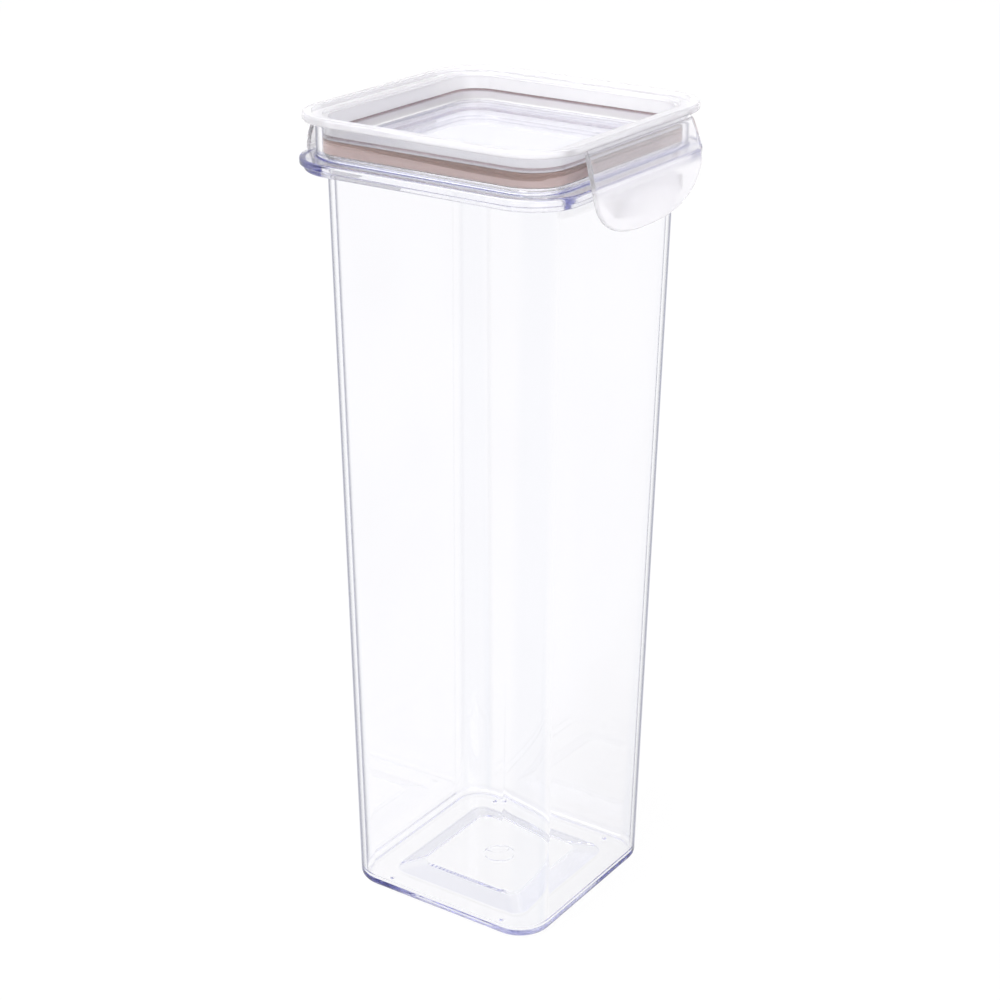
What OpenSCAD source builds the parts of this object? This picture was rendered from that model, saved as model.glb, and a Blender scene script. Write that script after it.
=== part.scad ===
/* [Body] */
// Outer width of the body at the base
base_w = 83; // [78:0.5:86]
// Outer width of the body where it meets the collar
top_w = 90.4; // [89:0.2:92]
// Corner radius of the body at the base
base_corner = 12.9; // [11:0.1:15]
// Corner radius of the body under the collar
top_corner = 11.6; // [10.5:0.1:13]
// Wall thickness of the body
wall = 2; // [1.6:0.1:2.2]
// Height from the base to the shelf under the lid
shelf_z = 278; // [220:1:320]
// Height that the middle of the base is pushed up
push_up = 2.3; // [1:0.1:4]

/* [Collar and neck] */
// Outer width of the collar that the latches hook under
collar_w = 108; // [107:0.2:108.4]
// Outer corner radius of the collar
collar_corner = 18.9; // [16:0.1:20]
// Thickness of the collar
collar_h = 4.5; // [3.6:0.1:4.8]
// Outer width of the neck above the collar
neck_w = 97.6; // [97:0.1:98.4]
// Wall thickness of the neck
neck_wall = 1.9; // [1.5:0.1:2]
// Height of the neck above the shelf
neck_h = 13; // [13:0.1:13.6]

/* [Lid] */
// Outer width of the lid's flange
lid_w = 106.14; // [105:0.02:106.4]
// Outer corner radius of the lid's flange
lid_corner = 18.8; // [16:0.1:20]
// Height of the flange above its underside
flange_h = 2.64; // [2.6:0.02:3.4]
// Inside width of the stacking recess
recess_w = 88.4; // [87:0.2:88.6]
// Depth of the stacking recess below the lid's top
recess_depth = 10.64; // [9.6:0.02:10.7]
// Thickness of the clear floor of the recess
floor_t = 2; // [1.6:0.1:2.2]

/* [Gasket] */
// Number of thin sealing lips above the gasket's band
lips = 2; // [1:1:2]
// Gap between the lips and the neck
lip_gap = 0.25; // [0.2:0.05:0.4]

/* [Latches] */
// Width of a latch flap
flap_w = 68; // [56:1:68]
// Height of a latch flap below its hinge
flap_h = 29.3; // [28:0.1:34]
// Thickness of a latch flap
flap_t = 1.8; // [1.5:0.1:2]
// Radius of the hinge bead at the top of a flap
bead_r = 0.85; // [0.7:0.05:0.9]
// Running gap around the hinge bead
bead_gap = 0.15; // [0.1:0.05:0.2]
// Width of the hook on the inside of a flap
hook_w = 43; // [30:1:46]
// Gap between the hook and the collar when closed
hook_gap = 0.35; // [0.2:0.05:0.5]

/* [Hidden] */
$fn = 64;
seg = 8;                                   // facets in each moulded corner of the body
hinge_x = lid_w / 2 + 0.23;                // hinge axis, out from the centre line
core_c = 34.2;                             // centre of the lid's and neck's corner arcs
neck_top = shelf_z + neck_h;
flange_z = neck_top + 0.2;
lid_top = flange_z + flange_h;
hinge_z = flange_z + 0.05;
collar_z = shelf_z + 1 - collar_h;         // underside of the collar
floor_z = lid_top - recess_depth;          // top of the clear floor
neck_in = neck_w / 2 - neck_wall;
plug = neck_in - 0.6;                      // half width of the lid's plug
gasket_in = plug - 1.0;
gasket_z0 = floor_z - 2.4;
gasket_z1 = floor_z + 2.4;
window_top = floor_z + 4;
lip_z = collar_z - hook_gap;               // top face of the hook
flap_z = hinge_z - flap_h;                 // lowest edge of a flap
flap_c = 8.25;                             // depth below the hinge where a flap is widest
flap_k = 2 / 2.6;                          // power of the flap's round foot

// ---- shared shapes -------------------------------------------------

// A square of half width a with round corners of radius r.
module rsq(a, r) {
    square([2 * a, 2 * (a - r)], center = true);
    square([2 * (a - r), 2 * a], center = true);
    for (x = [-1, 1], y = [-1, 1]) translate([x * (a - r), y * (a - r)]) circle(r);
}

// A block with the plan above, between two heights.
module block(a, r, z0, z1) {
    translate([0, 0, z0]) linear_extrude(z1 - z0) rsq(a, r);
}

// A block whose corner arcs share the neck's corner centres.
module core(a, z0, z1) { block(a, a - core_c, z0, z1); }

// Points of one ring of the body: a rounded square, anticlockwise.
function ring(p) = [
    for (q = [0 : 3], i = [0 : seg])
        let (t = 90 * q + 90 * i / seg,
             sx = (q == 0 || q == 3) ? 1 : -1,
             sy = q < 2 ? 1 : -1)
        [sx * (p[0] - p[1]) + p[1] * cos(t), sy * (p[0] - p[1]) + p[1] * sin(t), p[2]]
];

// A closed skin through rings [half width, corner radius, height], capped at both ends.
module skin(rings) {
    m = 4 * (seg + 1);
    n = len(rings);
    pts = [for (p = rings) each ring(p)];
    sides = [
        for (i = [0 : n - 2], j = [0 : m - 1])
            let (k = (j + 1) % m, a = i * m + j, b = i * m + k, c = (i + 1) * m + k, d = (i + 1) * m + j)
            each [[a, d, c], [a, c, b]]
    ];
    first = [for (j = [0 : m - 1]) j];
    last = [for (j = [m - 1 : -1 : 0]) (n - 1) * m + j];
    polyhedron(points = pts, faces = concat([first], sides, [last]));
}

// ---- container -----------------------------------------------------

function body_a(z) = base_w / 2 + (top_w - base_w) / 2 * z / (shelf_z - 10);
function body_r(z) = base_corner + (top_corner - base_corner) * z / (shelf_z - 10);
function foot_r(a) = max(5, a - (base_w / 2 - base_corner));

module container() color([0.90, 0.90, 0.96, 0.35]) {
    b = base_w / 2;
    skin([
        [b - 20.5, foot_r(b - 20.5), push_up],
        [b - 19.7, foot_r(b - 19.7), push_up - 0.15],
        [b - 13.2, foot_r(b - 13.2), 0.15],
        [b - 12.4, foot_r(b - 12.4), 0],
        [b - 2.6, foot_r(b - 2.6), 0],
        [b - 1.4, foot_r(b - 1.4), 0.3],
        [b - 0.5, foot_r(b - 0.5), 1.05],
        [b - 0.04, foot_r(b), 2.6],
        [body_a(6), body_r(6), 6],
        [body_a(90), body_r(90), 90],
        [body_a(180), body_r(180), 180],
        [body_a(shelf_z - 10), body_r(shelf_z - 10), shelf_z - 10],
        [top_w / 2 + 0.1, top_corner, shelf_z],
        [top_w / 2 + 0.1 - wall, top_corner - wall, shelf_z],
        [body_a(180) - wall, body_r(180) - wall, 180],
        [body_a(90) - wall, body_r(90) - wall, 90],
        [body_a(6.5) - wall, body_r(6.5) - wall, 6.5],
        [b - wall - 0.15, foot_r(b - wall - 0.15), 4.6],
        [b - wall - 0.8, foot_r(b - wall - 0.8), 2.9],
        [b - wall - 2.4, foot_r(b - wall - 2.4), 2.0],
        [b - 12.2, foot_r(b - 12.2), 1.9],
        [b - 13.0, foot_r(b - 13.0), 2.05],
        [b - 19.5, foot_r(b - 19.5), push_up + 1.95],
        [b - 20.4, foot_r(b - 20.4), push_up + 2.1]
    ]);
    difference() {
        union() {
            block(collar_w / 2, collar_corner, collar_z + 1.5, shelf_z + 1);
            block(collar_w / 2 - 1.3, collar_corner - 1.3, collar_z, collar_z + 1.6);
        }
        block(top_w / 2 - 1, top_corner - 1, collar_z - 1, shelf_z + 2);
    }
    difference() {
        core(neck_w / 2, shelf_z + 0.6, neck_top);
        core(neck_in, shelf_z, neck_top + 1);
    }
}

// ---- lid -----------------------------------------------------------

// The flange with its raised rim, the upper part of the plug wall and a groove for each
// hinge bead.
module lid_frame() color([0.93, 0.93, 0.96, 0.8]) difference() {
    union() {
        block(lid_w / 2, lid_corner, flange_z, lid_top);
        core(plug, window_top, flange_z + 0.1);
    }
    block(lid_w / 2 - 3.3, lid_corner - 3.3, lid_top - 1.0, lid_top + 1);
    core(46.2, lid_top - 1.8, lid_top + 1);
    core(recess_w / 2, window_top - 1, lid_top + 1);
    for (s = [-1, 1]) translate([s * hinge_x, 0, hinge_z]) rotate([90, 0, 0])
        cylinder(h = flap_w + 0.8, r = bead_r + bead_gap, center = true);
}

// The clear pan that closes the opening: floor, wall and the two rims that the gasket
// sits between.
module lid_window() color([0.92, 0.92, 0.97, 0.4]) difference() {
    union() {
        core(gasket_in, gasket_z0 - 1.5, window_top);
        core(plug, gasket_z0 - 1.5, gasket_z0 - 0.05);
        core(plug, gasket_z1 + 0.05, window_top);
    }
    core(recess_w / 2 - 0.2, floor_z, window_top + 1);
    core(recess_w / 2 - 1.8, gasket_z0 - 2, floor_z - floor_t);
}

// The silicone ring: a thick sealing band with thin lips above it.
module gasket() color([0.62, 0.50, 0.50]) {
    band = gasket_z0 + 2.7;
    pitch = (gasket_z1 - band) / lips;
    difference() {
        union() {
            core(neck_in - lip_gap - 0.5, gasket_z0, gasket_z1);
            core(neck_in - lip_gap, gasket_z0 + 0.3, band);
            for (i = [0 : lips - 1])
                core(neck_in - lip_gap, band + (i + 0.45) * pitch, band + (i + 0.45) * pitch + 0.5);
        }
        core(gasket_in + 0.05, gasket_z0 - 1, gasket_z1 + 1);
    }
}

// ---- latches -------------------------------------------------------

// Outline of a flap seen square on, with its top at height 0: a little narrower at the
// hinge, widest at flap_c below it, with a full round foot.
module flap_outline() {
    h = flap_w / 2;
    neck = [for (i = [0 : 3]) let (s = 1 - i / 4) [h - pow(s, 1.5), (s - 1) * flap_c]];
    foot = [for (i = [0 : 16]) let (t = 90 * i / 16)
        [h * pow(cos(t), flap_k), -flap_c - (flap_h - flap_c) * pow(sin(t), flap_k)]];
    half = concat(neck, foot);
    n = len(half);
    polygon(concat(half, [for (i = [n - 2 : -1 : 0]) [-half[i][0], half[i][1]]]));
}

// One flap on the +X side: a flared plate, a hook under the collar and the hinge bead.
module flap() {
    x0 = hinge_x;
    intersection() {
        translate([0, 50, 0]) rotate([90, 0, 0]) linear_extrude(100) polygon([
            [x0 - 0.55, hinge_z - 0.25], [x0 - 0.8, hinge_z - 0.8],
            [x0 + 0.4, hinge_z - 4.3], [x0 + 3.2 - flap_t, hinge_z - 8.2],
            [x0 + 4.3 - flap_t, hinge_z - 12], [x0 + 4.7 - flap_t, hinge_z - 15.3],
            [x0 + 4.7 - flap_t, flap_z - 1], [x0 + 4.7, flap_z - 1],
            [x0 + 4.7, hinge_z - 15.3], [x0 + 4.3, hinge_z - 11.8],
            [x0 + 3.4, hinge_z - 7.7], [x0 + 2.1, hinge_z - 3.8],
            [x0 + 0.8, hinge_z - 0.35], [x0 + 0.65, hinge_z - 0.05]
        ]);
        translate([0, 0, hinge_z]) rotate([90, 0, 90]) linear_extrude(100) flap_outline();
    }
    translate([0, hook_w / 2, 0]) rotate([90, 0, 0]) linear_extrude(hook_w) polygon([
        [x0 - 1.5, lip_z], [x0 + 4.8 - flap_t, lip_z],
        [x0 + 4.8 - flap_t, flap_z + 4.0], [x0 - 1.5, lip_z - 1.3]
    ]);
    translate([x0, 0, hinge_z]) rotate([90, 0, 0])
        cylinder(h = flap_w - 4, r = bead_r, center = true);
}

module latch_flap_right() color([0.90, 0.90, 0.96, 0.7]) flap();
module latch_flap_left() color([0.90, 0.90, 0.96, 0.7]) mirror([1, 0, 0]) flap();

container();
lid_frame();
lid_window();
gasket();
latch_flap_right();
latch_flap_left();
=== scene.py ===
import math

import bmesh
import bpy
import numpy as np
from mathutils import Matrix, Vector
from mathutils.geometry import delaunay_2d_cdt


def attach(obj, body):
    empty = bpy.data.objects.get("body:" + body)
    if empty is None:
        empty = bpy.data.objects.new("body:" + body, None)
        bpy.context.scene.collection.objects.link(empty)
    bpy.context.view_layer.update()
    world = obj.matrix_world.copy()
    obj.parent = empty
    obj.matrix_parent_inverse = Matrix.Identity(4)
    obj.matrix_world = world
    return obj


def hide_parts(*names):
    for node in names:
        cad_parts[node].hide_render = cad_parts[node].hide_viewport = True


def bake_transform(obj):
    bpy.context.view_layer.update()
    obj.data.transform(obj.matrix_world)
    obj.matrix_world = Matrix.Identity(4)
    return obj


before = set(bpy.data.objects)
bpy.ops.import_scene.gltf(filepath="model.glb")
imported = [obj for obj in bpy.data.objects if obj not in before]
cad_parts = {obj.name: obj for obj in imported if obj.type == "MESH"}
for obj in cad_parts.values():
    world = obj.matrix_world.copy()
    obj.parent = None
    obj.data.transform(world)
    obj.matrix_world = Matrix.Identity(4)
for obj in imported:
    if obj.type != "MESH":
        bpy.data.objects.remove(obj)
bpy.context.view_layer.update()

MM = 0.001
scene = bpy.context.scene


# ---------------------------------------------------------------- profiles

def unit(v):
    return v / np.linalg.norm(v)


def turned(v, a):
    c, s = math.cos(a), math.sin(a)
    return np.array([c * v[0] - s * v[1], s * v[0] + c * v[1]])


def profile(points, closed=False, step=6.0):
    """Rounds the corners of a polyline of (half width, height, fillet radius), in mm.
    Returns (point, tangent in, tangent out) with the material on the left of the path."""
    p = [np.array(q[:2], float) for q in points]
    rad = [q[2] if len(q) > 2 else 0.0 for q in points]
    n = len(p)
    out = []
    if not closed:
        d = unit(p[1] - p[0])
        out.append((p[0], d, d))
    for i in range(n) if closed else range(1, n - 1):
        a, b = p[i - 1], p[(i + 1) % n]
        d1, d2 = unit(p[i] - a), unit(b - p[i])
        turn = math.atan2(d1[0] * d2[1] - d1[1] * d2[0], float(d1 @ d2))
        if rad[i] <= 0 or abs(turn) < 0.01:
            out.append((p[i], d1, d2))
            continue
        t = rad[i] * math.tan(abs(turn) / 2)
        t = min(t, 0.48 * np.linalg.norm(p[i] - a), 0.48 * np.linalg.norm(b - p[i]))
        r = t / math.tan(abs(turn) / 2)
        sign = 1 if turn > 0 else -1
        side = np.array([-d1[1], d1[0]]) * sign
        start = p[i] - d1 * t
        centre = start + side * r
        m = max(3, int(math.ceil(abs(math.degrees(turn)) / step)))
        for k in range(m + 1):
            ang = turn * k / m
            tan = turned(d1, ang)
            out.append((centre - turned(side, ang) * r, tan, tan))
    if not closed:
        d = unit(p[-1] - p[-2])
        out.append((p[-1], d, d))
    return out


def nub_band(ring_a, ring_b, verts, nubs):
    """Triangles and normals of a level band between two rings, facing up, with low round nubs
    (x, y, radius, height) raised from it. New points are appended to verts."""
    seg, steps = 20, 5
    z = verts[ring_a[0]][2]
    pts = [Vector(verts[k][:2]) for k in ring_a + ring_b]
    ids = list(ring_a) + list(ring_b)
    edges = []
    for start, m in ((0, len(ring_a)), (len(ring_a), len(ring_b))):
        edges += [(start + k, start + (k + 1) % m) for k in range(m)]
    faces, loops = [], []
    for x, y, r, h in nubs:
        rings = []
        for s in range(steps):
            d = r * (1 - s / steps)
            lift = h * (0.5 + 0.5 * math.cos(math.pi * d / r))
            ring = []
            for k in range(seg):
                t = 2 * math.pi * k / seg
                ring.append(len(verts))
                verts.append((x + d * math.cos(t), y + d * math.sin(t), z + lift))
            rings.append(ring)
        top = len(verts)
        verts.append((x, y, z + h))

        def up(i):
            dx, dy = verts[i][0] - x, verts[i][1] - y
            d = math.hypot(dx, dy)
            if d < 1e-9:
                return (0.0, 0.0, 1.0)
            g = h * 0.5 * math.pi / r * math.sin(math.pi * min(d / r, 1.0))
            v = Vector((dx / d * g, dy / d * g, 1.0)).normalized()
            return tuple(v)

        for a, b in zip(rings[:-1], rings[1:]):
            for k in range(seg):
                l = (k + 1) % seg
                f = (a[k], a[l], b[l], b[k])
                faces.append(f)
                loops.extend(up(i) for i in f)
        for k in range(seg):
            f = (rings[-1][k], rings[-1][(k + 1) % seg], top)
            faces.append(f)
            loops.extend(up(i) for i in f)
        start = len(pts)
        pts += [Vector(verts[k][:2]) for k in rings[0]]
        ids += rings[0]
        edges += [(start + k, start + (k + 1) % seg) for k in range(seg)]
    out, _, tris, orig, _, _ = delaunay_2d_cdt(pts, edges, [], 0, 1e-7)
    back = [ids[o[0]] for o in orig]
    inner = set(ring_b)
    for t in tris:
        f = [back[k] for k in t]
        if all(k in inner for k in f):
            continue
        c = sum((Vector(verts[k][:2]) for k in f), Vector((0, 0))) / 3
        if any(math.hypot(c.x - x, c.y - y) < 0.98 * r for x, y, r, h in nubs):
            continue
        (x0, y0), (x1, y1), (x2, y2) = (verts[k][:2] for k in f)
        if (x1 - x0) * (y2 - y0) - (x2 - x0) * (y1 - y0) < 0:
            f = f[::-1]
        faces.append(tuple(f))
        loops.extend([(0.0, 0.0, 1.0)] * 3)
    return faces, loops


def sweep(name, prof, corner, closed=False, arc=14, nubs=None):
    """Carries a profile round a square with round corners. corner(a, z) is the corner radius
    at half width a and height z. Open profiles start and end on the axis and are capped.
    nubs is a height and a list of low round nubs that stand on the level band there."""
    e = 1e-4
    N = 4 * (arc + 1)
    ts, sx, sy = [], [], []
    for q in range(4):
        for i in range(arc + 1):
            ts.append(math.radians(90 * q + 90 * i / arc))
            sx.append(1 if q in (0, 3) else -1)
            sy.append(1 if q < 2 else -1)
    ct, st, sx, sy = np.cos(ts), np.sin(ts), np.array(sx), np.array(sy)
    verts = []
    for pt, tin, tout in prof:
        a, z = pt
        r = corner(a, z)
        verts.append(np.stack([sx * (a - r) + r * ct, sy * (a - r) + r * st, np.full(N, z)], 1))
    n = len(prof)

    def normals(pt, t):
        a, z = pt
        dr = (corner(a + e * t[0], z + e * t[1]) - corner(a - e * t[0], z - e * t[1])) / (2 * e)
        dc = t[0] - dr
        m = np.stack([ct * t[1], st * t[1], -(dc * (np.abs(ct) + np.abs(st)) + dr)], 1)
        return m / np.linalg.norm(m, axis=1)[:, None]

    faces, loops = [], []
    verts = [tuple(map(float, v)) for v in np.concatenate(verts)]
    for i in range(n if closed else n - 1):
        k = (i + 1) % n
        if nubs and all(abs(prof[q][0][1] - nubs[0]) < 1e-6 for q in (i, k)) \
                and prof[i][0][0] - prof[k][0][0] > 4:
            more, ups = nub_band([i * N + j for j in range(N)], [k * N + j for j in range(N)],
                                 verts, nubs[1])
            faces += more
            loops += ups
            continue
        n0, n1 = normals(prof[i][0], prof[i][2]), normals(prof[k][0], prof[k][1])
        for j in range(N):
            l = (j + 1) % N
            faces.append((i * N + j, i * N + l, k * N + l, k * N + j))
            loops += [n0[j], n0[l], n1[l], n1[j]]
    if not closed:
        faces.append(tuple(range(N - 1, -1, -1)))
        loops += [(0, 0, -1)] * N
        faces.append(tuple((n - 1) * N + j for j in range(N)))
        loops += [(0, 0, 1)] * N
    me = bpy.data.meshes.new(name)
    me.from_pydata([(x * MM, y * MM, z * MM) for x, y, z in verts], [], faces)
    me.validate()
    me.polygons.foreach_set("use_smooth", [True] * len(me.polygons))
    if len(me.loops) == len(loops):
        me.normals_split_custom_set([tuple(map(float, x)) for x in loops])
    me.update()
    ob = bpy.data.objects.new(name, me)
    scene.collection.objects.link(ob)
    return ob


# ---------------------------------------------------------------- materials

def new_material(name):
    m = bpy.data.materials.new(name)
    m.use_nodes = True
    m.node_tree.nodes.clear()
    return m, m.node_tree.nodes, m.node_tree.links


def math_node(N, L, op, a, b=None, clamp=False):
    """A Math node on sockets or numbers."""
    n = N.new("ShaderNodeMath")
    n.operation = op
    n.use_clamp = clamp
    for i, v in enumerate((a, b)):
        if v is None:
            continue
        if isinstance(v, (int, float)):
            n.inputs[i].default_value = v
        else:
            L.new(v, n.inputs[i])
    return n.outputs[0]


def ramp_node(N, L, value, lo, hi, to_lo=0.0, to_hi=1.0):
    """A smooth step of a socket between two values."""
    n = N.new("ShaderNodeMapRange")
    n.interpolation_type = "SMOOTHSTEP"
    n.inputs["From Min"].default_value = lo
    n.inputs["From Max"].default_value = hi
    n.inputs["To Min"].default_value = to_lo
    n.inputs["To Max"].default_value = to_hi
    L.new(value, n.inputs["Value"])
    return n.outputs["Result"]


def tinted(N, L, base, colour, factor):
    """Mixes a colour over another by a factor."""
    n = N.new("ShaderNodeMix")
    n.data_type = "RGBA"
    if isinstance(base, tuple):
        n.inputs["A"].default_value = (*base, 1)
    else:
        L.new(base, n.inputs["A"])
    n.inputs["B"].default_value = (*colour, 1)
    L.new(factor, n.inputs["Factor"])
    return n.outputs["Result"]


def clear_plastic(name, tint, edge_shade_colour, density, absorb, ior=1.55, rough=0.015, body=False, seam=None):
    """Clear moulded plastic, blue in its depth by absorption, with a dark edge painted where it is seen edge-on
    (painted shade).
    body adds, for the tall moulding and by place alone, painted shade down the corners, at the foot of the neck
    and on the floor slopes, and painted light that makes the level floor white."""
    m, N, L = new_material(name)
    out = N.new("ShaderNodeOutputMaterial")
    b = N.new("ShaderNodeBsdfPrincipled")
    b.inputs["Transmission Weight"].default_value = 1.0
    b.inputs["IOR"].default_value = ior
    # rougher where the mould left a faint drag on the surface
    co = N.new("ShaderNodeTexCoord")
    nz = N.new("ShaderNodeTexNoise")
    nz.inputs["Scale"].default_value = 42.0
    nz.inputs["Detail"].default_value = 3.0
    L.new(co.outputs["Object"], nz.inputs["Vector"])
    L.new(ramp_node(N, L, nz.outputs["Fac"], 0.35, 0.75, rough, rough * 2.2 + 0.004), b.inputs["Roughness"])
    lw = N.new("ShaderNodeLayerWeight")
    lw.inputs["Blend"].default_value = 0.5
    facing = lw.outputs["Facing"]
    # painted shade: a dark edge where the surface is seen edge-on, mixed into the colour at the end
    edge_shade = ramp_node(N, L, facing, 0.52, 0.76)
    # faint clouds in the tint, far too soft to see as a pattern
    n2 = N.new("ShaderNodeTexNoise")
    n2.inputs["Scale"].default_value = 14.0
    n2.inputs["Detail"].default_value = 2.0
    L.new(co.outputs["Object"], n2.inputs["Vector"])
    col = tinted(N, L, tint, tuple(c * 0.985 for c in tint), ramp_node(N, L, n2.outputs["Fac"], 0.4, 0.7))
    if seam:
        sp = N.new("ShaderNodeSeparateXYZ")
        L.new(co.outputs["Object"], sp.inputs[0])
        weld = ramp_node(N, L, sp.outputs[2], seam - 0.00115, seam - 0.00075)
        # painted shade: the pan wall is painted greyer rising towards the seam below the flange
        under_flange_shade = ramp_node(N, L, sp.outputs[2], 0.2836, seam - 0.0009)
        col = tinted(N, L, col, (0.93, 0.90, 0.95), under_flange_shade)
        haze = math_node(N, L, "MULTIPLY", ramp_node(N, L, sp.outputs[2], 0.2829, 0.2835),
                         ramp_node(N, L, sp.outputs[2], seam - 0.0013, seam - 0.0008, 1.0, 0.0))
        L.new(math_node(N, L, "SUBTRACT", 1.0, math_node(N, L, "MULTIPLY", haze, 0.5)),
              b.inputs["Transmission Weight"])
        col = tinted(N, L, col, (0.36, 0.28, 0.29), weld)
    if body:
        sp = N.new("ShaderNodeSeparateXYZ")
        L.new(co.outputs["Object"], sp.inputs[0])
        X, Y, Z = sp.outputs
        ge = N.new("ShaderNodeNewGeometry")
        sn = N.new("ShaderNodeSeparateXYZ")
        L.new(ge.outputs["Normal"], sn.inputs[0])
        ax = math_node(N, L, "ABSOLUTE", X)
        ay = math_node(N, L, "ABSOLUTE", Y)
        near = math_node(N, L, "MINIMUM", ax, ay)
        corner = ramp_node(N, L, near, 0.0265, 0.0290)
        # only where the corner is round, by its normal
        nx, ny, nz3 = (math_node(N, L, "ABSOLUTE", o) for o in sn.outputs)
        curved = math_node(N, L, "MULTIPLY", corner,
                           ramp_node(N, L, math_node(N, L, "MINIMUM", nx, ny), 0.01, 0.10))
        upright = ramp_node(N, L, nz3, 0.2, 0.5, 1.0, 0.0)
        upright = math_node(N, L, "MULTIPLY", upright, ramp_node(N, L, Z, 0.2730, 0.2745, 1.0, 0.0))
        wall = math_node(N, L, "MULTIPLY", curved, upright)
        # painted shade: a grey line painted down each corner
        side = math_node(N, L, "SIGN", Y)
        d = math_node(N, L, "MULTIPLY", math_node(N, L, "SUBTRACT", ay, ax), side)
        d = math_node(N, L, "SUBTRACT", d, ramp_node(N, L, Z, -0.06, 0.32, 0.0072, 0.0004))
        line = ramp_node(N, L, math_node(N, L, "ABSOLUTE", d), 0.0006, 0.0043, 1.0, 0.0)
        line = math_node(N, L, "MULTIPLY", line, wall)
        col = tinted(N, L, col, (0.875, 0.892, 0.930), line)
        # painted shade: the round corners are painted a little greyer
        corner_grey_shade = math_node(N, L, "MULTIPLY", math_node(N, L, "MULTIPLY", corner, upright),
                        ramp_node(N, L, math_node(N, L, "MINIMUM", nx, ny), 0.08, 0.50))
        col = tinted(N, L, col, (0.955, 0.958, 0.975), corner_grey_shade)
        # painted shade: a blue-grey band painted at the foot of the neck
        a_out = math_node(N, L, "MAXIMUM", ax, ay)
        foot = math_node(N, L, "MULTIPLY", ramp_node(N, L, Z, 0.2782, 0.2788),
                         ramp_node(N, L, Z, 0.2796, 0.2803, 1.0, 0.0))
        foot = math_node(N, L, "MULTIPLY", foot, ramp_node(N, L, a_out, 0.0496, 0.0506, 1.0, 0.0))
        foot = math_node(N, L, "MULTIPLY", foot, ramp_node(N, L, a_out, 0.0478, 0.0484))
        col = tinted(N, L, col, (0.70, 0.72, 0.86), foot)
        # the painted shade at the edge is weaker on level faces than on upright ones
        edge_shade = math_node(N, L, "MULTIPLY", edge_shade, ramp_node(N, L, nz3, 0.3, 0.7, 1.0, 0.30))
        # painted light: the level floor is painted white
        low = ramp_node(N, L, Z, 0.0050, 0.0062, 1.0, 0.0)
        level = math_node(N, L, "MULTIPLY", low, ramp_node(N, L, nz3, 0.5, 0.9))
        col = tinted(N, L, col, (1.0, 1.0, 1.0), level)
        # painted shade: the floor's slopes are painted greyer
        slope_shade = math_node(N, L, "MULTIPLY", low, ramp_node(N, L, nz3, 0.5, 0.8))
        slope_shade = math_node(N, L, "MULTIPLY", slope_shade, ramp_node(N, L, nz3, 0.965, 0.990, 1.0, 0.0))
        slope_shade = math_node(N, L, "MULTIPLY", slope_shade, ramp_node(N, L, a_out, 0.030, 0.032, 1.0, 0.0))
        col = tinted(N, L, col, (0.905, 0.91, 0.955), slope_shade)
    # painted shade: the dark edge by view angle
    col = tinted(N, L, col, edge_shade_colour, edge_shade)
    L.new(col, b.inputs["Base Color"])
    L.new(b.outputs["BSDF"], out.inputs["Surface"])
    if density:
        va = N.new("ShaderNodeVolumeAbsorption")
        va.inputs["Color"].default_value = (*absorb, 1)
        va.inputs["Density"].default_value = density
        L.new(va.outputs["Volume"], out.inputs["Volume"])
    return m


def milky_plastic(name, base, trans, rough, ior=1.49, thick=None):
    """Milky moulded plastic. thick gives two heights and the clarity below the lower one,
    where the moulding is thicker and lets less light straight through."""
    m, N, L = new_material(name)
    out = N.new("ShaderNodeOutputMaterial")
    b = N.new("ShaderNodeBsdfPrincipled")
    b.inputs["Transmission Weight"].default_value = trans
    b.inputs["IOR"].default_value = ior
    co = N.new("ShaderNodeTexCoord")
    nz = N.new("ShaderNodeTexNoise")
    nz.inputs["Scale"].default_value = 90.0
    nz.inputs["Detail"].default_value = 4.0
    rp = N.new("ShaderNodeMapRange")
    rp.inputs["To Min"].default_value = rough * 0.75
    rp.inputs["To Max"].default_value = rough * 1.3
    cl = N.new("ShaderNodeMix")
    cl.data_type = "RGBA"
    cl.inputs["A"].default_value = (*base, 1)
    cl.inputs["B"].default_value = (*[c * 0.965 for c in base], 1)
    L.new(co.outputs["Object"], nz.inputs["Vector"])
    L.new(nz.outputs["Fac"], rp.inputs["Value"])
    L.new(rp.outputs["Result"], b.inputs["Roughness"])
    L.new(nz.outputs["Fac"], cl.inputs["Factor"])
    L.new(cl.outputs["Result"], b.inputs["Base Color"])
    if thick:
        sp = N.new("ShaderNodeSeparateXYZ")
        L.new(co.outputs["Object"], sp.inputs[0])
        L.new(ramp_node(N, L, sp.outputs[2], thick[0], thick[1], thick[2], trans),
              b.inputs["Transmission Weight"])
    L.new(b.outputs["BSDF"], out.inputs["Surface"])
    return m


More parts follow.
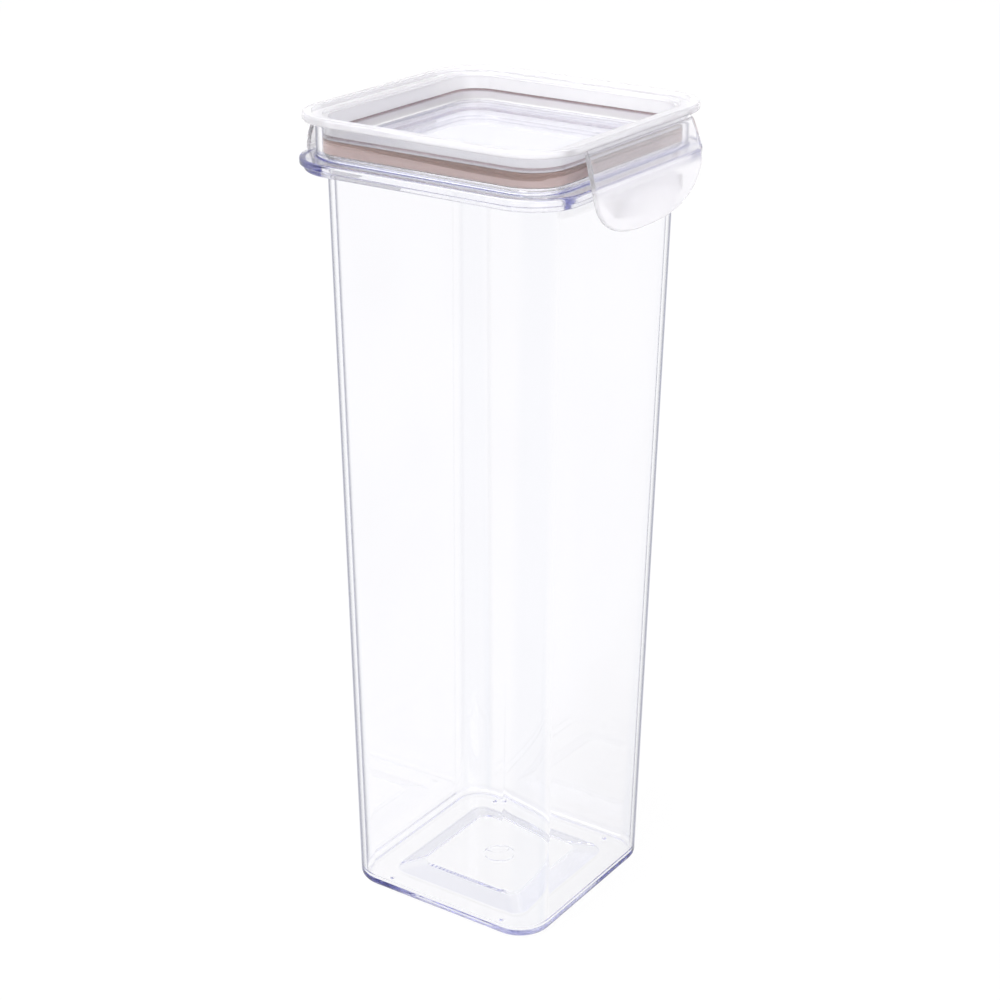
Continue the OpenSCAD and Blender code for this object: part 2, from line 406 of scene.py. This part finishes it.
def silicone(name, base, shade, lip_shade, inner):
    """Matte silicone: the sealing lips above the band are painted darker, as painted shade, and
    the face that lies against the clear pan is painted paler, as painted light."""
    m, N, L = new_material(name)
    out = N.new("ShaderNodeOutputMaterial")
    b = N.new("ShaderNodeBsdfPrincipled")
    b.inputs["IOR"].default_value = 1.41
    b.inputs["Transmission Weight"].default_value = 0.3
    co = N.new("ShaderNodeTexCoord")
    nz = N.new("ShaderNodeTexNoise")
    nz.inputs["Scale"].default_value = 160.0
    nz.inputs["Detail"].default_value = 5.0
    n2 = N.new("ShaderNodeTexNoise")
    n2.inputs["Scale"].default_value = 2600.0
    bp = N.new("ShaderNodeBump")
    bp.inputs["Strength"].default_value = 0.5
    bp.inputs["Distance"].default_value = 0.00003
    L.new(co.outputs["Object"], nz.inputs["Vector"])
    L.new(co.outputs["Object"], n2.inputs["Vector"])
    sp = N.new("ShaderNodeSeparateXYZ")
    L.new(co.outputs["Object"], sp.inputs[0])
    X, Y, Z = sp.outputs
    u = math_node(N, L, "MAXIMUM", math_node(N, L, "SUBTRACT", math_node(N, L, "ABSOLUTE", X), 0.0342), 0.0)
    v = math_node(N, L, "MAXIMUM", math_node(N, L, "SUBTRACT", math_node(N, L, "ABSOLUTE", Y), 0.0342), 0.0)
    r = math_node(N, L, "SQRT", math_node(N, L, "ADD", math_node(N, L, "MULTIPLY", u, u),
                                          math_node(N, L, "MULTIPLY", v, v)))
    col = tinted(N, L, base, shade, nz.outputs["Fac"])
    # painted shade: the lips above a height that rises and falls round the ring are painted darker
    t = math_node(N, L, "MULTIPLY", math_node(N, L, "MULTIPLY", X, math_node(N, L, "SIGN", Y)),
                  ramp_node(N, L, math_node(N, L, "ABSOLUTE", Y), 0.040, 0.045))
    zz = math_node(N, L, "SUBTRACT", Z, ramp_node(N, L, t, -0.030, 0.044, -0.0004, 0.0012))
    col = tinted(N, L, col, lip_shade, ramp_node(N, L, zz, 0.28345, 0.28375))
    # painted light: the face against the clear pan is painted pale
    col = tinted(N, L, col, inner, ramp_node(N, L, r, 0.01130, 0.01142, 1.0, 0.0))
    L.new(ramp_node(N, L, nz.outputs["Fac"], 0.0, 1.0, 0.42, 0.6), b.inputs["Roughness"])
    L.new(col, b.inputs["Base Color"])
    L.new(n2.outputs["Fac"], bp.inputs["Height"])
    L.new(bp.outputs["Normal"], b.inputs["Normal"])
    L.new(b.outputs["BSDF"], out.inputs["Surface"])
    return m


BODY = clear_plastic("clear_body", (0.990, 0.988, 0.997), (0.045, 0.05, 0.11), 7.5,
                     (0.58, 0.59, 0.86), ior=1.55, rough=0.008, body=True)
PAN = clear_plastic("clear_pan", (0.990, 0.990, 0.996), (0.84, 0.84, 0.92), 2.0,
                    (0.62, 0.66, 0.95), ior=1.52, rough=0.01, seam=0.2872)
FRAME = milky_plastic("milky_frame", (0.982, 0.974, 0.996), 0.66, 0.07)
FLAP = milky_plastic("milky_flap", (0.985, 0.975, 0.999), 0.86, 0.07, ior=1.38, thick=(0.275, 0.282, 0.52))
GASKET = silicone("gasket_silicone", (0.87, 0.665, 0.62), (0.82, 0.625, 0.58), (0.52, 0.33, 0.28), (0.97, 0.95, 0.99))


# ---------------------------------------------------------------- container

def body_a(z):
    return 41.5 + 3.7 * z / 268.0


def body_centre(z):
    return 28.6 + 5.0 * min(max(z, 0.0), 268.0) / 268.0


def body_corner(a, z):
    c = body_centre(z)
    if z > 262 and a > 45.2:
        c += 0.1705 * (a - 45.2)
    r = a - c
    if a < 33.6 + 0 * z:
        low = 5.0 if a > 20 else 5.0 + (20 - a) * 2.0 / 13.0
        if a < 7:
            low = a
        r = max(r, low)
    return min(r, a)


container = sweep("container_shell", profile([
    (0.4, 2.3), (4.7, 2.3, 0.3), (5.0, 2.35, 0.3), (5.5, 2.35, 0.3), (5.8, 2.3, 0.3),
    (21.2, 2.3, 1.5), (28.6, 0.0, 1.5), (41.5, 0.0, 2.6),
    (body_a(274.5), 274.5, 0.9), (52.5, 274.5, 0.9), (52.9, 276.3, 0.35),
    (54.0, 276.7, 0.5), (54.0, 279.0, 0.9), (48.85, 279.15, 0.8),
    (48.8, 291.0, 0.7), (46.9, 291.0, 0.5), (46.9, 278.8, 0.7), (43.35, 278.3, 1.2),
    (39.6, 1.9, 2.8), (29.0, 1.9, 1.5), (21.0, 4.4, 1.5),
    (5.9, 4.4, 0.3), (5.5, 4.45, 0.3), (5.0, 4.45, 0.3), (4.6, 4.4, 0.3), (0.4, 4.4),
]), body_corner, arc=32,
    nubs=(1.9, [(x, y, 1.25, 0.4) for x in (-25, 25) for y in (-34.5, 34.5)]))


# ---------------------------------------------------------------- lid

def core_corner(a, z):
    return min(max(a - 34.2, 0.35 * a if a < 30 else 0.0), a) if a < 35 else a - 34.2


def pan_corner(a, z):
    return a - 34.2 if a > 38 else min(a, max(3.8, a - 34.2))


lid_frame = sweep("lid_flange", profile([
    (46.3, 291.2, 0.6), (53.07, 291.2, 0.7), (53.07, 293.84, 0.9), (49.9, 293.84, 0.45),
    (49.55, 292.95, 0.35), (46.5, 292.75, 0.3), (46.1, 292.1, 0.3), (44.3, 292.0, 0.5),
    (44.2, 287.22, 0.05), (46.25, 287.22, 0.15),
], closed=True), lambda a, z: a - 34.2, closed=True, arc=24)

lid_pan = sweep("lid_pan", profile([
    (0.4, 281.2), (42.2, 281.2, 0.5), (42.6, 279.35, 0.4), (46.2, 279.35, 0.4),
    (46.2, 280.74, 0.25), (45.28, 280.78, 0.15), (45.28, 285.62, 0.15), (46.25, 285.66, 0.2),
    (46.25, 287.2, 0.08), (44.2, 287.2, 0.08), (44.0, 283.2, 0.8), (0.4, 283.2),
]), pan_corner, arc=24)

gasket = sweep("gasket_ring", profile([
    (45.3, 280.82, 0.1), (46.2, 280.82, 0.3), (46.62, 281.3, 0.5), (46.66, 282.9, 0.5),
    (46.3, 283.5, 0.2), (46.15, 283.7, 0.1), (46.15, 283.95, 0.1), (46.62, 284.2, 0.12),
    (46.15, 284.5, 0.1), (46.15, 284.85, 0.1), (46.62, 285.1, 0.12), (46.5, 285.5, 0.15),
    (46.15, 285.58, 0.1), (45.3, 285.58, 0.1),
], closed=True), lambda a, z: a - 34.2, closed=True, arc=24)


# ---------------------------------------------------------------- latch flaps

HX, HZ = 53.3, 291.25           # hinge axis of the +X flap
FW, FB = 34.0, 261.95           # half width and lowest edge of a flap
FC = 283.0                      # height at which a flap is widest

face = profile([(54.15, 290.8), (55.4, 287.4, 6), (56.7, 283.4, 8), (57.55, 279.4, 8),
                (58.0, 275.9, 8), (58.0, 258.0)], step=6)
face_z = np.array([p[0][1] for p in face])[::-1]
face_x = np.array([p[0][0] for p in face])[::-1]


def outer_x(z):
    return np.interp(z, face_z, face_x)


def resample(pts, n):
    """n + 1 points at even spacing along a polyline."""
    pts = np.array(pts)
    step = np.linalg.norm(np.diff(pts, axis=0), axis=1)
    t = np.concatenate([[0], np.cumsum(step)])
    w = np.linspace(0, t[-1], n + 1)
    return np.stack([np.interp(w, t, pts[:, 0]), np.interp(w, t, pts[:, 1])], 1)


def flap_edge(d, n_u=36, n_v=22):
    """The flap's outline, drawn in by d mm, as top, bottom, left and right point rows (y, z)."""
    top, half, low = 290.75 - d, FW - d, FC - FB - d
    k = 2 / 2.6
    arc = [(half * math.cos(t) ** k, FC - low * math.sin(t) ** k)
           for t in np.linspace(0, math.pi / 2, 400)[:-1]] + [(0.0, FC - low)]
    side = [(half - 1.15 * ((z - FC) / (292.0 - FC)) ** 1.5, z) for z in np.linspace(top, FC, 40)[:-1]]
    cut = 178
    right = resample(side + arc[:cut + 1], n_v)
    half_bottom = resample(arc[cut:], n_u // 2)
    bottom = np.concatenate([half_bottom * [-1, 1], half_bottom[::-1][1:]])
    topline = np.stack([np.linspace(-right[0][0], right[0][0], n_u + 1), np.full(n_u + 1, top)], 1)
    return topline, bottom, right * [-1, 1], right


def flap_mesh(name, side):
    n_u, n_v = 36, 22
    T = 1.8
    insets = [0.0, 0.06, 0.2, 0.45, 0.9, 1.5]
    verts, index = [], {}

    def add(key, x, y, z):
        index[key] = len(verts)
        verts.append((x * side, y, z))

    def shell(d):
        h = T / 2
        return h if d >= h else math.sqrt(max(h * h - (h - d) ** 2, 0.0))

    loops_per = []
    for k, d in enumerate(insets):
        top, bottom, left, right = flap_edge(d, n_u, n_v)
        loop = [tuple(p) for p in top] + [tuple(p) for p in right[1:]] + \
               [tuple(p) for p in bottom[::-1][1:]] + [tuple(p) for p in left[::-1][1:-1]]
        loops_per.append(loop)
        for i, (y, z) in enumerate(loop):
            xm = outer_x(z) - T / 2
            if k == 0:
                add(("e", i), xm, y, z)
            else:
                add(("o", k, i), xm + shell(d), y, z)
                add(("i", k, i), xm - shell(d), y, z)
    M = len(loops_per[0])
    faces = []

    def quad(a, b, c, d, flip):
        f = (a, b, c, d)
        faces.append(f if not flip else f[::-1])

    for i in range(M):
        j = (i + 1) % M
        quad(index[("e", i)], index[("e", j)], index[("o", 1, j)], index[("o", 1, i)], side < 0)
        quad(index[("e", j)], index[("e", i)], index[("i", 1, i)], index[("i", 1, j)], side < 0)
        for k in range(1, len(insets) - 1):
            quad(index[("o", k, i)], index[("o", k, j)], index[("o", k + 1, j)], index[("o", k + 1, i)], side < 0)
            quad(index[("i", k, j)], index[("i", k, i)], index[("i", k + 1, i)], index[("i", k + 1, j)], side < 0)
    # inside of the last ring: a grid between its four sides
    K = len(insets) - 1
    top, bottom, left, right = flap_edge(insets[K], n_u, n_v)
    nv = len(left) - 1
    ring = {}
    for u in range(n_u + 1):
        ring[(u, 0)] = u
    for v in range(1, nv + 1):
        ring[(n_u, v)] = n_u + v
    for u in range(n_u - 1, -1, -1):
        ring[(u, nv)] = n_u + nv + (n_u - u)
    for v in range(nv - 1, 0, -1):
        ring[(0, v)] = n_u + nv + n_u + (nv - v)
    for u in range(1, n_u):
        for v in range(1, nv):
            s, t = u / n_u, v / nv
            p = (1 - t) * top[u] + t * bottom[u] + (1 - s) * left[v] + s * right[v] \
                - ((1 - s) * (1 - t) * top[0] + s * (1 - t) * top[-1] + (1 - s) * t * bottom[0] + s * t * bottom[-1])
            xm = outer_x(p[1]) - T / 2
            add(("og", u, v), xm + T / 2, p[0], p[1])
            add(("ig", u, v), xm - T / 2, p[0], p[1])

    def at(which, u, v):
        if (u, v) in ring:
            return index[(which, K, ring[(u, v)])]
        return index[(which + "g", u, v)]

    for u in range(n_u):
        for v in range(nv):
            quad(at("o", u, v), at("o", u + 1, v), at("o", u + 1, v + 1), at("o", u, v + 1), side < 0)
            quad(at("i", u + 1, v), at("i", u, v), at("i", u, v + 1), at("i", u + 1, v + 1), side < 0)
    me = bpy.data.meshes.new(name)
    me.from_pydata([(x * MM, y * MM, z * MM) for x, y, z in verts], [], faces)
    me.validate()
    bm = bmesh.new()
    bm.from_mesh(me)
    bmesh.ops.recalc_face_normals(bm, faces=bm.faces)
    bm.to_mesh(me)
    bm.free()
    ob = bpy.data.objects.new(name, me)
    scene.collection.objects.link(ob)
    return ob


def hook_mesh(name, side):
    """The wedge on the inside of a flap: flat top under the collar, slanted below, curved foot."""
    tip_x, root_x, top_z = 51.8, 56.9, 273.98 + 0.17
    n = 28
    verts, faces = [], []
    half = 21.5
    for i in range(n + 1):
        y = -half + 2 * half * i / n
        foot = FB + 3.7 + (75.0 - math.sqrt(75.0 ** 2 - y * y)) * 1.05
        end = min(1.0, (half - abs(y)) / 0.8)
        rows = [(tip_x + 0.25, top_z), (tip_x, top_z - 0.3), (tip_x, top_z - 1.2),
                (root_x, foot - 0.7), (root_x, top_z)]
        for x, z in rows:
            verts.append((x * side * MM, y * MM, z * MM))
    m = 5
    for i in range(n):
        for k in range(m):
            l = (k + 1) % m
            faces.append((i * m + k, i * m + l, (i + 1) * m + l, (i + 1) * m + k))
    faces.append(tuple(range(m)))
    faces.append(tuple(n * m + k for k in reversed(range(m))))
    me = bpy.data.meshes.new(name)
    me.from_pydata(verts, [], faces)
    me.validate()
    bm = bmesh.new()
    bm.from_mesh(me)
    bmesh.ops.recalc_face_normals(bm, faces=bm.faces)
    bm.to_mesh(me)
    bm.free()
    ob = bpy.data.objects.new(name, me)
    scene.collection.objects.link(ob)
    return ob


def join_solids(a, b, angle=28.0):
    """Welds two closed solids into one skin and smooths it where it bends gently."""
    mod = a.modifiers.new("weld", "BOOLEAN")
    mod.operation = "UNION"
    mod.solver = "EXACT"
    mod.object = b
    dg = bpy.context.evaluated_depsgraph_get()
    me = bpy.data.meshes.new_from_object(a.evaluated_get(dg))
    a.modifiers.clear()
    old = a.data
    a.data = me
    bpy.data.meshes.remove(old)
    bpy.data.objects.remove(b)
    bm = bmesh.new()
    bm.from_mesh(me)
    bmesh.ops.remove_doubles(bm, verts=bm.verts, dist=2e-6)
    bmesh.ops.dissolve_degenerate(bm, edges=bm.edges, dist=1e-6)
    for f in bm.faces:
        f.smooth = True
    for ed in bm.edges:
        ed.smooth = len(ed.link_faces) == 2 and ed.calc_face_angle(0.0) < math.radians(angle)
    bm.to_mesh(me)
    bm.free()
    me.update()
    return a


def hinge_strip(name, side):
    """The thin flexing strip that joins a flap to the flange, 0.45 mm thick, bent round the hinge line."""
    path = profile([(52.75, 291.9), (53.25, 291.55, 0.5), (53.45, 291.1, 0.5), (53.55, 289.9)], step=8)
    pts = []
    for (p, tin, tout) in path:
        pts.append((p, tout))
    dense = []
    for (p0, t0), (p1, t1) in zip(pts[:-1], pts[1:]):
        for s in np.linspace(0, 1, 4)[:-1]:
            dense.append((p0 + (p1 - p0) * s, unit(t0 * (1 - s) + t1 * s)))
    dense.append(pts[-1])
    ys = np.linspace(-32.2, 32.2, 9)
    verts, faces = [], []
    m = len(dense)
    for y in ys:
        for p, t in dense:
            nrm = np.array([-t[1], t[0]])
            for s in (0.22, -0.22):
                q = p + nrm * s
                verts.append((q[0] * side * MM, y * MM, q[1] * MM))
    w = 2 * m
    for i in range(len(ys) - 1):
        for k in range(m - 1):
            a, b = i * w + 2 * k, i * w + 2 * (k + 1)
            c, d = a + w, b + w
            faces.append((a, b, d, c))
            faces.append((a + 1, c + 1, d + 1, b + 1))
        faces.append((i * w, (i + 1) * w, (i + 1) * w + 1, i * w + 1))
        e = i * w + 2 * (m - 1)
        faces.append((e, e + 1, e + w + 1, e + w))
    for i in (0, len(ys) - 1):
        for k in range(m - 1):
            a = i * w + 2 * k
            faces.append((a, a + 1, a + 3, a + 2))
    me = bpy.data.meshes.new(name)
    me.from_pydata(verts, [], faces)
    me.validate()
    bm = bmesh.new()
    bm.from_mesh(me)
    bmesh.ops.recalc_face_normals(bm, faces=bm.faces)
    for f in bm.faces:
        f.smooth = True
    for ed in bm.edges:
        ed.smooth = len(ed.link_faces) == 2 and ed.calc_face_angle(0.0) < math.radians(35)
    bm.to_mesh(me)
    bm.free()
    ob = bpy.data.objects.new(name, me)
    scene.collection.objects.link(ob)
    return ob


flaps = {}
for label, side in (("right", 1), ("left", -1)):
    flap = flap_mesh("flap_" + label, side)
    hook = hook_mesh("hook_" + label, side)
    flaps[label] = join_solids(flap, hook)

# ---------------------------------------------------------------- riding on the frame

for ob, body, node, slot, mat in (
    (container, "container", "container", "clear_plastic", BODY),
    (lid_frame, "lid", "lid_frame", "milky_plastic", FRAME),
    (lid_pan, "lid", "lid_window", "clear_pan", PAN),
    (gasket, "lid", "gasket", "silicone", GASKET),
    (flaps["right"], "latch_right", "latch_flap_right", "flap_plastic", FLAP),
    (flaps["left"], "latch_left", "latch_flap_left", "flap_plastic", FLAP),
):
    ob.data.materials.clear()
    ob.data.materials.append(mat)
    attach(ob, body)
    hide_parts(node)

for label, side in (("right", 1), ("left", -1)):
    strip = hinge_strip("hinge_strip_" + label, side)
    strip.data.materials.append(FLAP)
    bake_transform(strip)

# ---------------------------------------------------------------- studio

yaw, pitch, roll = math.radians(34.079), math.radians(23.411), math.radians(0.317)
back = Vector((math.sin(yaw) * math.cos(pitch), -math.cos(yaw) * math.cos(pitch), math.sin(pitch)))
right = Vector((math.cos(yaw), math.sin(yaw), 0))
up = back.cross(right)
r2 = math.cos(roll) * right + math.sin(roll) * up
u2 = -math.sin(roll) * right + math.cos(roll) * up
cam_data = bpy.data.cameras.new("camera")
cam_data.sensor_width = 36.0
cam_data.lens = 2150.046 / 1000 * 36.0
cam_data.shift_x = (500 - 501.062) / 1000
cam_data.shift_y = (528.644 - 500) / 1000
cam_data.clip_start, cam_data.clip_end = 0.01, 100
cam = bpy.data.objects.new("camera", cam_data)
scene.collection.objects.link(cam)
pos = Vector((0.399403, -0.590363, 0.448608))
cam.matrix_world = Matrix((
    (r2.x, u2.x, back.x, pos.x),
    (r2.y, u2.y, back.y, pos.y),
    (r2.z, u2.z, back.z, pos.z),
    (0, 0, 0, 1)))
scene.camera = cam

me = bpy.data.meshes.new("floor")
me.from_pydata([(-4, -4, -0.0006), (4, -4, -0.0006), (4, 4, -0.0006), (-4, 4, -0.0006)], [], [(0, 1, 2, 3)])
floor = bpy.data.objects.new("floor", me)
scene.collection.objects.link(floor)
m, N, L = new_material("floor_white")
out = N.new("ShaderNodeOutputMaterial")
df = N.new("ShaderNodeBsdfDiffuse")
df.inputs["Color"].default_value = (0.06, 0.06, 0.06, 1)
em = N.new("ShaderNodeEmission")
em.inputs["Strength"].default_value = 0.94
ad = N.new("ShaderNodeAddShader")
tr = N.new("ShaderNodeBsdfTransparent")
ge = N.new("ShaderNodeNewGeometry")
mx = N.new("ShaderNodeMixShader")
L.new(df.outputs[0], ad.inputs[0])
L.new(em.outputs[0], ad.inputs[1])
L.new(ge.outputs["Backfacing"], mx.inputs[0])
L.new(ad.outputs[0], mx.inputs[1])
L.new(tr.outputs[0], mx.inputs[2])
L.new(mx.outputs[0], out.inputs["Surface"])
me.materials.append(m)

world = bpy.data.worlds.new("studio")
scene.world = world
world.use_nodes = True
W, WL = world.node_tree.nodes, world.node_tree.links
W.clear()
wo = W.new("ShaderNodeOutputWorld")
bg = W.new("ShaderNodeBackground")
bg.inputs["Strength"].default_value = 1.0
tc = W.new("ShaderNodeTexCoord")
sp = W.new("ShaderNodeSeparateXYZ")
WL.new(tc.outputs["Generated"], sp.inputs[0])
# white at the horizon, dimmer overhead and a little dimmer towards +X
sky = ramp_node(W, WL, sp.outputs[2], 0.50, 0.98, 1.0, 0.80)
aside = ramp_node(W, WL, sp.outputs[0], 0.1, 1.0, 1.0, 0.90)
grey = math_node(W, WL, "MULTIPLY", sky, aside)
cb = W.new("ShaderNodeCombineColor")
WL.new(grey, cb.inputs[0])
WL.new(math_node(W, WL, "POWER", grey, 1.06), cb.inputs[1])
WL.new(math_node(W, WL, "POWER", grey, 0.80), cb.inputs[2])
WL.new(cb.outputs[0], bg.inputs["Color"])
WL.new(bg.outputs[0], wo.inputs["Surface"])

key = bpy.data.lights.new("key", "AREA")
key.shape = "RECTANGLE"
key.size, key.size_y = 1.6, 1.6
key.energy = 34
ko = bpy.data.objects.new("key", key)
scene.collection.objects.link(ko)
ko.location = (-0.45, -1.0, 2.0)
ko.rotation_euler = (Vector((0, 0, 0.1)) - ko.location).to_track_quat("-Z", "Y").to_euler()

fill = bpy.data.lights.new("fill", "AREA")
fill.size = 1.4
fill.energy = 12
fo = bpy.data.objects.new("fill", fill)
scene.collection.objects.link(fo)
fo.location = (1.5, -0.9, 0.9)
fo.rotation_euler = (Vector((0, 0, 0.2)) - fo.location).to_track_quat("-Z", "Y").to_euler()

scene.view_settings.view_transform = "Standard"
scene.view_settings.look = "None"
cy = scene.cycles
cy.max_bounces = 512
cy.transmission_bounces = 512
cy.glossy_bounces = 512
cy.diffuse_bounces = 256
cy.transparent_max_bounces = 16
cy.caustics_reflective = True
cy.caustics_refractive = True
cy.blur_glossy = 0.3
